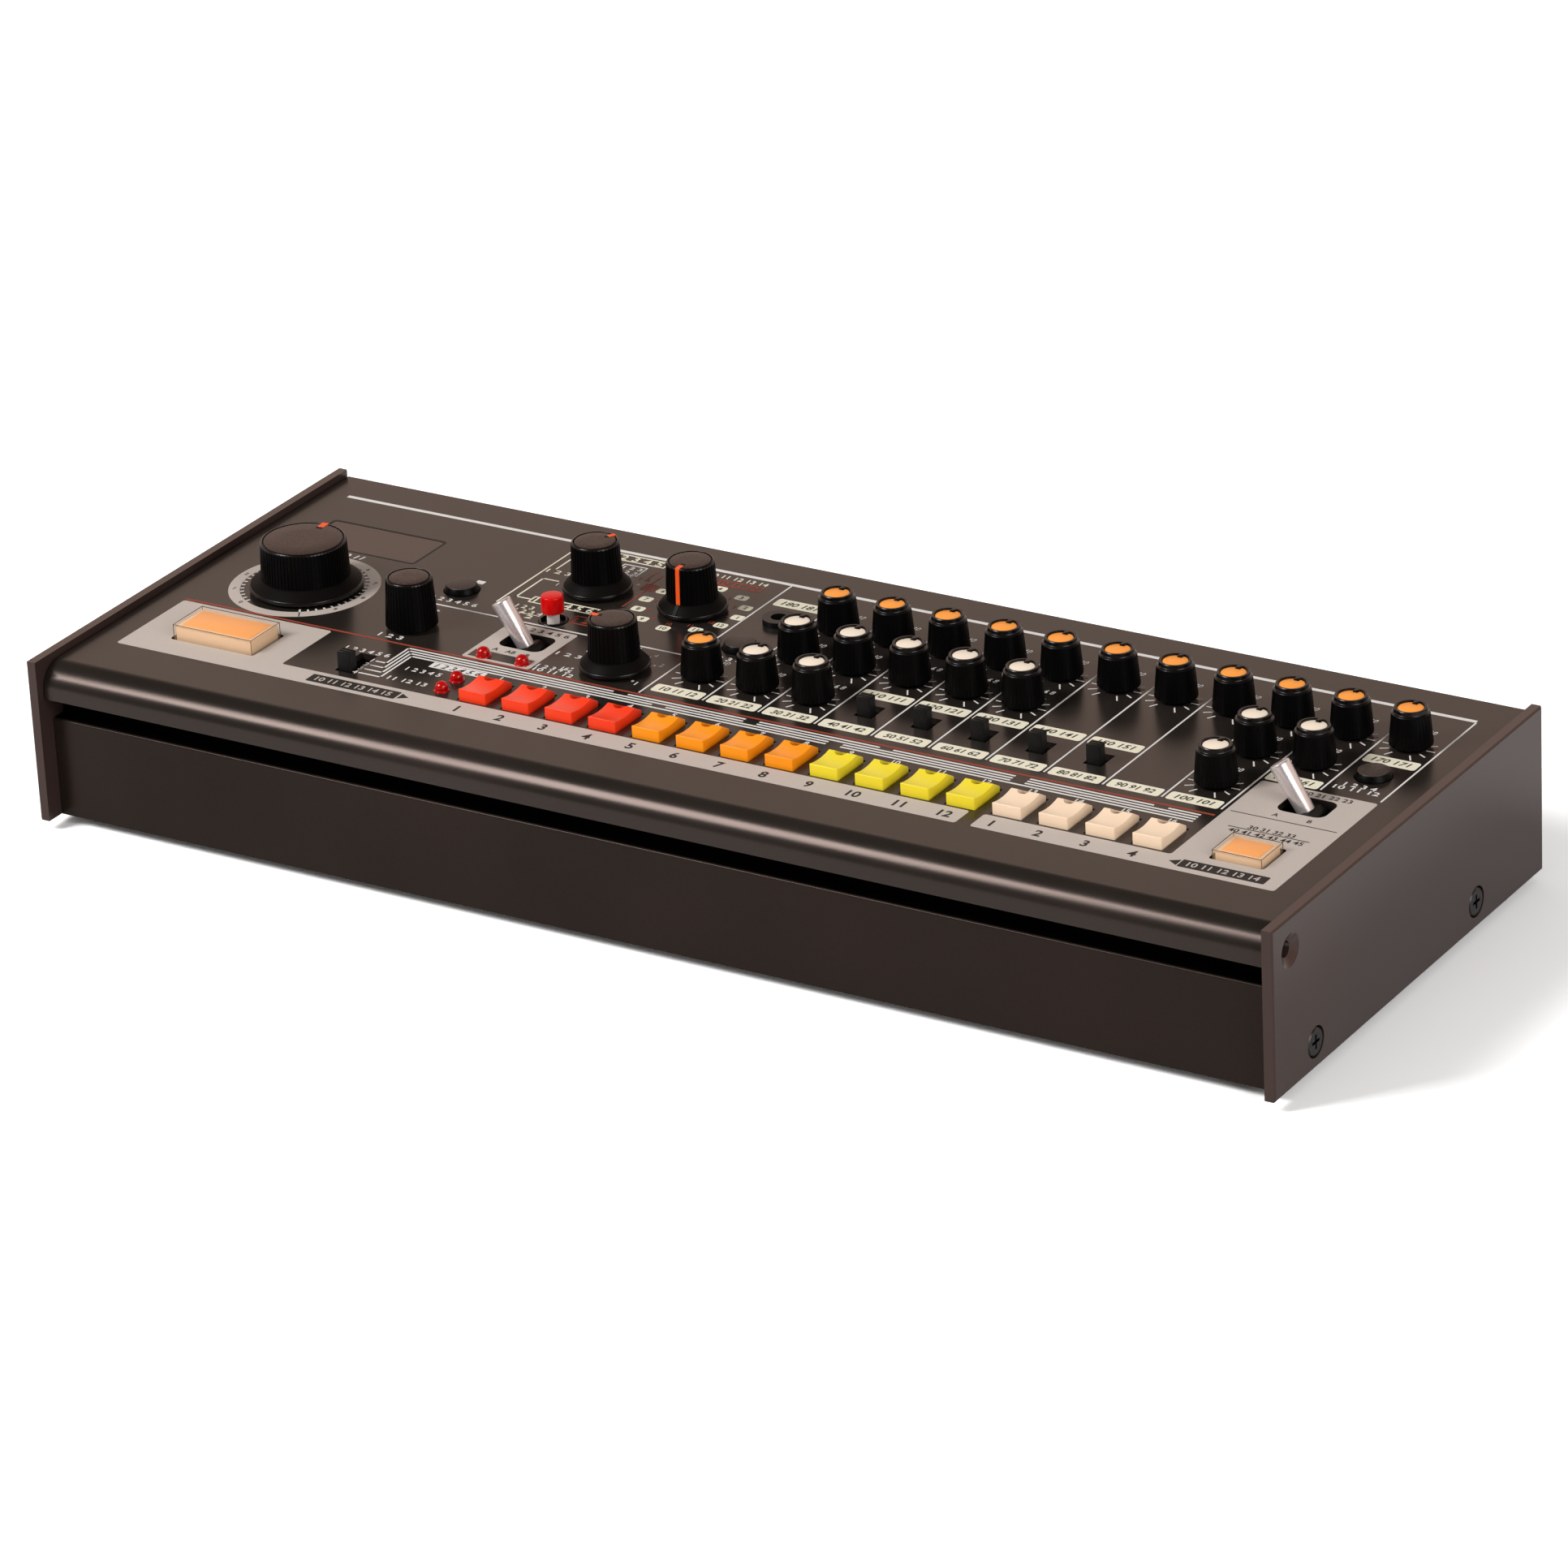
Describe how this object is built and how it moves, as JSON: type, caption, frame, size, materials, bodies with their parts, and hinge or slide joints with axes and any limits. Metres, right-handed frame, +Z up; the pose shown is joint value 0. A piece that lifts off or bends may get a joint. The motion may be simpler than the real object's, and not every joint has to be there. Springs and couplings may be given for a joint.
{
  "type": "desktop drum machine",
  "caption": "Compact desktop drum machine: folded dark panel between flat cheeks, coloured step keys, rows of voice knobs, pointer knobs, toggles, slide switches and rear sockets.",
  "frame": {"origin": "on the surface it stands on, under the middle of the whole outline", "axes": "+X to the player's right, +Y away from the player, +Z up"},
  "size_m": [0.308, 0.13, 0.0512],
  "materials": {
    "panel_paint": "satin, very fine texture",
    "cheek_paint": "satin",
    "case_plastic": "fine moulded grain",
    "smoked_window": "gloss, smoked",
    "board_laminate": "green laminate",
    "switch_plastic": "matt black",
    "socket_plastic": "matt black",
    "red_lens": "gloss, translucent",
    "foot_rubber": "matt",
    "black_steel": "blackened",
    "knob_plastic": "satin black",
    "red_key": "satin gloss",
    "orange_key": "satin gloss",
    "yellow_key": "satin gloss",
    "cream_key": "satin gloss",
    "cream_button": "clear cover over cream",
    "button_rubber": "matt",
    "bright_metal": "bright plated"
  },
  "bodies": {
    "case": {"top_panel": "panel_paint", "left_cheek": "cheek_paint", "right_cheek": "cheek_paint", "bottom_case": "case_plastic", "rear_panel": "panel_paint", "battery_door": "case_plastic", "display_window": "smoked_window", "circuit_boards": "board_laminate", "control_bodies": "switch_plastic", "jack_sockets": "socket_plastic", "indicator_lamps": "red_lens", "rubber_feet": "foot_rubber", "case_screws": "black_steel"},
    "accent_level_knob": {"accent_level_knob": "knob_plastic"},
    "bass_drum_tone_knob": {"bass_drum_tone_knob": "knob_plastic"},
    "bass_drum_decay_knob": {"bass_drum_decay_knob": "knob_plastic"},
    "snare_drum_tone_knob": {"snare_drum_tone_knob": "knob_plastic"},
    "snare_drum_snappy_knob": {"snare_drum_snappy_knob": "knob_plastic"},
    "low_tom_tuning_knob": {"low_tom_tuning_knob": "knob_plastic"},
    "mid_tom_tuning_knob": {"mid_tom_tuning_knob": "knob_plastic"},
    "high_tom_tuning_knob": {"high_tom_tuning_knob": "knob_plastic"},
    "cymbal_tone_knob": {"cymbal_tone_knob": "knob_plastic"},
    "cymbal_decay_knob": {"cymbal_decay_knob": "knob_plastic"},
    "open_hihat_decay_knob": {"open_hihat_decay_knob": "knob_plastic"},
    "bass_drum_level_knob": {"bass_drum_level_knob": "knob_plastic"},
    "snare_drum_level_knob": {"snare_drum_level_knob": "knob_plastic"},
    "low_tom_level_knob": {"low_tom_level_knob": "knob_plastic"},
    "mid_tom_level_knob": {"mid_tom_level_knob": "knob_plastic"},
    "high_tom_level_knob": {"high_tom_level_knob": "knob_plastic"},
    "rim_shot_level_knob": {"rim_shot_level_knob": "knob_plastic"},
    "hand_clap_level_knob": {"hand_clap_level_knob": "knob_plastic"},
    "cowbell_level_knob": {"cowbell_level_knob": "knob_plastic"},
    "cymbal_level_knob": {"cymbal_level_knob": "knob_plastic"},
    "open_hihat_level_knob": {"open_hihat_level_knob": "knob_plastic"},
    "closed_hihat_level_knob": {"closed_hihat_level_knob": "knob_plastic"},
    "tempo_knob": {"tempo_knob": "knob_plastic"},
    "value_knob": {"value_knob": "knob_plastic"},
    "mode_knob": {"mode_knob": "knob_plastic"},
    "instrument_knob": {"instrument_knob": "knob_plastic"},
    "fill_knob": {"fill_knob": "knob_plastic"},
    "volume_knob": {"volume_knob": "knob_plastic"},
    "step_keys_1_4": {"step_keys_1_4": "red_key"},
    "step_keys_5_8": {"step_keys_5_8": "orange_key"},
    "step_keys_9_12": {"step_keys_9_12": "yellow_key"},
    "step_keys_13_16": {"step_keys_13_16": "cream_key"},
    "shuffle_button": {"shuffle_button": "button_rubber"},
    "function_button": {"function_button": "button_rubber"},
    "menu_button": {"menu_button": "button_rubber"},
    "start_button": {"start_button": "cream_button"},
    "tap_button": {"tap_button": "cream_button"},
    "clear_button": {"clear_button": "red_key"},
    "variation_toggle": {"variation_toggle": "bright_metal"},
    "intro_toggle": {"intro_toggle": "bright_metal"},
    "low_tom_switch": {"low_tom_switch": "knob_plastic"},
    "mid_tom_switch": {"mid_tom_switch": "knob_plastic"},
    "high_tom_switch": {"high_tom_switch": "knob_plastic"},
    "rim_shot_switch": {"rim_shot_switch": "knob_plastic"},
    "hand_clap_switch": {"hand_clap_switch": "knob_plastic"},
    "prescale_switch": {"prescale_switch": "knob_plastic"},
    "power_switch": {"power_switch": "knob_plastic"}
  },
  "joints": [
    {"name": "accent_level_knob_turn", "type": "hinge", "parent": "case", "child": "accent_level_knob", "pos_m": [-0.0172, -0.0047, 0.03905], "axis": [0, 0, 1], "range_deg": [-150, 150]},
    {"name": "bass_drum_tone_knob_turn", "type": "hinge", "parent": "case", "child": "bass_drum_tone_knob", "pos_m": [-0.0032, 0.0124, 0.03905], "axis": [0, 0, 1], "range_deg": [-150, 150]},
    {"name": "bass_drum_decay_knob_turn", "type": "hinge", "parent": "case", "child": "bass_drum_decay_knob", "pos_m": [-0.0032, -0.0047, 0.03905], "axis": [0, 0, 1], "range_deg": [-150, 150]},
    {"name": "snare_drum_tone_knob_turn", "type": "hinge", "parent": "case", "child": "snare_drum_tone_knob", "pos_m": [0.0108, 0.0124, 0.03905], "axis": [0, 0, 1], "range_deg": [-150, 150]},
    {"name": "snare_drum_snappy_knob_turn", "type": "hinge", "parent": "case", "child": "snare_drum_snappy_knob", "pos_m": [0.0108, -0.0047, 0.03905], "axis": [0, 0, 1], "range_deg": [-150, 150]},
    {"name": "low_tom_tuning_knob_turn", "type": "hinge", "parent": "case", "child": "low_tom_tuning_knob", "pos_m": [0.0248, 0.0124, 0.03905], "axis": [0, 0, 1], "range_deg": [-150, 150]},
    {"name": "mid_tom_tuning_knob_turn", "type": "hinge", "parent": "case", "child": "mid_tom_tuning_knob", "pos_m": [0.0388, 0.0124, 0.03905], "axis": [0, 0, 1], "range_deg": [-150, 150]},
    {"name": "high_tom_tuning_knob_turn", "type": "hinge", "parent": "case", "child": "high_tom_tuning_knob", "pos_m": [0.0528, 0.0124, 0.03905], "axis": [0, 0, 1], "range_deg": [-150, 150]},
    {"name": "cymbal_tone_knob_turn", "type": "hinge", "parent": "case", "child": "cymbal_tone_knob", "pos_m": [0.1088, 0.0124, 0.03905], "axis": [0, 0, 1], "range_deg": [-150, 150]},
    {"name": "cymbal_decay_knob_turn", "type": "hinge", "parent": "case", "child": "cymbal_decay_knob", "pos_m": [0.1088, -0.0047, 0.03905], "axis": [0, 0, 1], "range_deg": [-150, 150]},
    {"name": "open_hihat_decay_knob_turn", "type": "hinge", "parent": "case", "child": "open_hihat_decay_knob", "pos_m": [0.1228, 0.0124, 0.03905], "axis": [0, 0, 1], "range_deg": [-150, 150]},
    {"name": "bass_drum_level_knob_turn", "type": "hinge", "parent": "case", "child": "bass_drum_level_knob", "pos_m": [-0.0032, 0.0291, 0.03905], "axis": [0, 0, 1], "range_deg": [-150, 150]},
    {"name": "snare_drum_level_knob_turn", "type": "hinge", "parent": "case", "child": "snare_drum_level_knob", "pos_m": [0.0108, 0.0291, 0.03905], "axis": [0, 0, 1], "range_deg": [-150, 150]},
    {"name": "low_tom_level_knob_turn", "type": "hinge", "parent": "case", "child": "low_tom_level_knob", "pos_m": [0.0248, 0.0291, 0.03905], "axis": [0, 0, 1], "range_deg": [-150, 150]},
    {"name": "mid_tom_level_knob_turn", "type": "hinge", "parent": "case", "child": "mid_tom_level_knob", "pos_m": [0.0388, 0.0291, 0.03905], "axis": [0, 0, 1], "range_deg": [-150, 150]},
    {"name": "high_tom_level_knob_turn", "type": "hinge", "parent": "case", "child": "high_tom_level_knob", "pos_m": [0.0528, 0.0291, 0.03905], "axis": [0, 0, 1], "range_deg": [-150, 150]},
    {"name": "rim_shot_level_knob_turn", "type": "hinge", "parent": "case", "child": "rim_shot_level_knob", "pos_m": [0.0668, 0.0291, 0.03905], "axis": [0, 0, 1], "range_deg": [-150, 150]},
    {"name": "hand_clap_level_knob_turn", "type": "hinge", "parent": "case", "child": "hand_clap_level_knob", "pos_m": [0.0808, 0.0291, 0.03905], "axis": [0, 0, 1], "range_deg": [-150, 150]},
    {"name": "cowbell_level_knob_turn", "type": "hinge", "parent": "case", "child": "cowbell_level_knob", "pos_m": [0.0948, 0.0291, 0.03905], "axis": [0, 0, 1], "range_deg": [-150, 150]},
    {"name": "cymbal_level_knob_turn", "type": "hinge", "parent": "case", "child": "cymbal_level_knob", "pos_m": [0.1088, 0.0291, 0.03905], "axis": [0, 0, 1], "range_deg": [-150, 150]},
    {"name": "open_hihat_level_knob_turn", "type": "hinge", "parent": "case", "child": "open_hihat_level_knob", "pos_m": [0.1228, 0.0291, 0.03905], "axis": [0, 0, 1], "range_deg": [-150, 150]},
    {"name": "closed_hihat_level_knob_turn", "type": "hinge", "parent": "case", "child": "closed_hihat_level_knob", "pos_m": [0.1368, 0.0291, 0.03905], "axis": [0, 0, 1], "range_deg": [-150, 150]},
    {"name": "tempo_knob_turn", "type": "hinge", "parent": "case", "child": "tempo_knob", "pos_m": [-0.1231, -0.00165, 0.03905], "axis": [0, 0, 1], "range_deg": [-150, 150]},
    {"name": "value_knob_turn", "type": "hinge", "parent": "case", "child": "value_knob", "pos_m": [-0.08955, -0.0094, 0.03905], "axis": [0, 0, 1], "continuous": true},
    {"name": "mode_knob_turn", "type": "hinge", "parent": "case", "child": "mode_knob", "pos_m": [-0.063, 0.02495, 0.03905], "axis": [0, 0, 1], "range_deg": [-50, 100]},
    {"name": "instrument_knob_turn", "type": "hinge", "parent": "case", "child": "instrument_knob", "pos_m": [-0.038, 0.02475, 0.03905], "axis": [0, 0, 1], "range_deg": [-330, 0]},
    {"name": "fill_knob_turn", "type": "hinge", "parent": "case", "child": "fill_knob", "pos_m": [-0.0366, -0.0094, 0.03905], "axis": [0, 0, 1], "range_deg": [-225, 45]},
    {"name": "volume_knob_turn", "type": "hinge", "parent": "case", "child": "volume_knob", "pos_m": [0.11, 0.056, 0.017], "axis": [0, 1, 0], "range_deg": [-150, 150]},
    {"name": "step_keys_1_4_slide", "type": "slide", "parent": "case", "child": "step_keys_1_4", "axis": [0, 0, -1], "range_m": [0, 0.001], "stiffness_N_per_m": 600},
    {"name": "step_keys_5_8_slide", "type": "slide", "parent": "case", "child": "step_keys_5_8", "axis": [0, 0, -1], "range_m": [0, 0.001], "stiffness_N_per_m": 600},
    {"name": "step_keys_9_12_slide", "type": "slide", "parent": "case", "child": "step_keys_9_12", "axis": [0, 0, -1], "range_m": [0, 0.001], "stiffness_N_per_m": 600},
    {"name": "step_keys_13_16_slide", "type": "slide", "parent": "case", "child": "step_keys_13_16", "axis": [0, 0, -1], "range_m": [0, 0.001], "stiffness_N_per_m": 600},
    {"name": "shuffle_button_slide", "type": "slide", "parent": "case", "child": "shuffle_button", "axis": [0, 0, -1], "range_m": [0, 0.0007], "stiffness_N_per_m": 400},
    {"name": "function_button_slide", "type": "slide", "parent": "case", "child": "function_button", "axis": [0, 0, -1], "range_m": [0, 0.0007], "stiffness_N_per_m": 400},
    {"name": "menu_button_slide", "type": "slide", "parent": "case", "child": "menu_button", "axis": [0, 0, -1], "range_m": [0, 0.0007], "stiffness_N_per_m": 400},
    {"name": "start_button_slide", "type": "slide", "parent": "case", "child": "start_button", "axis": [0, 0, -1], "range_m": [0, 0.0015], "stiffness_N_per_m": 400},
    {"name": "tap_button_slide", "type": "slide", "parent": "case", "child": "tap_button", "axis": [0, 0, -1], "range_m": [0, 0.0015], "stiffness_N_per_m": 400},
    {"name": "clear_button_slide", "type": "slide", "parent": "case", "child": "clear_button", "axis": [0, 0, -1], "range_m": [0, 0.002], "stiffness_N_per_m": 300},
    {"name": "variation_toggle_turn", "type": "hinge", "parent": "case", "child": "variation_toggle", "pos_m": [-0.0608, -0.0057, 0.03605], "axis": [0, 1, 0], "range_deg": [0, 64]},
    {"name": "intro_toggle_turn", "type": "hinge", "parent": "case", "child": "intro_toggle", "pos_m": [0.132, -0.0066, 0.03605], "axis": [0, 1, 0], "range_deg": [0, 64]},
    {"name": "low_tom_switch_slide", "type": "slide", "parent": "case", "child": "low_tom_switch", "axis": [0, 1, 0], "range_m": [0, 0.0026]},
    {"name": "mid_tom_switch_slide", "type": "slide", "parent": "case", "child": "mid_tom_switch", "axis": [0, 1, 0], "range_m": [0, 0.0026]},
    {"name": "high_tom_switch_slide", "type": "slide", "parent": "case", "child": "high_tom_switch", "axis": [0, 1, 0], "range_m": [0, 0.0026]},
    {"name": "rim_shot_switch_slide", "type": "slide", "parent": "case", "child": "rim_shot_switch", "axis": [0, 1, 0], "range_m": [0, 0.0026]},
    {"name": "hand_clap_switch_slide", "type": "slide", "parent": "case", "child": "hand_clap_switch", "axis": [0, 1, 0], "range_m": [0, 0.0026]},
    {"name": "prescale_switch_slide", "type": "slide", "parent": "case", "child": "prescale_switch", "axis": [0, 1, 0], "range_m": [0, 0.00669]},
    {"name": "power_switch_slide", "type": "slide", "parent": "case", "child": "power_switch", "axis": [1, 0, 0], "range_m": [0, 0.0044]}
  ]
}
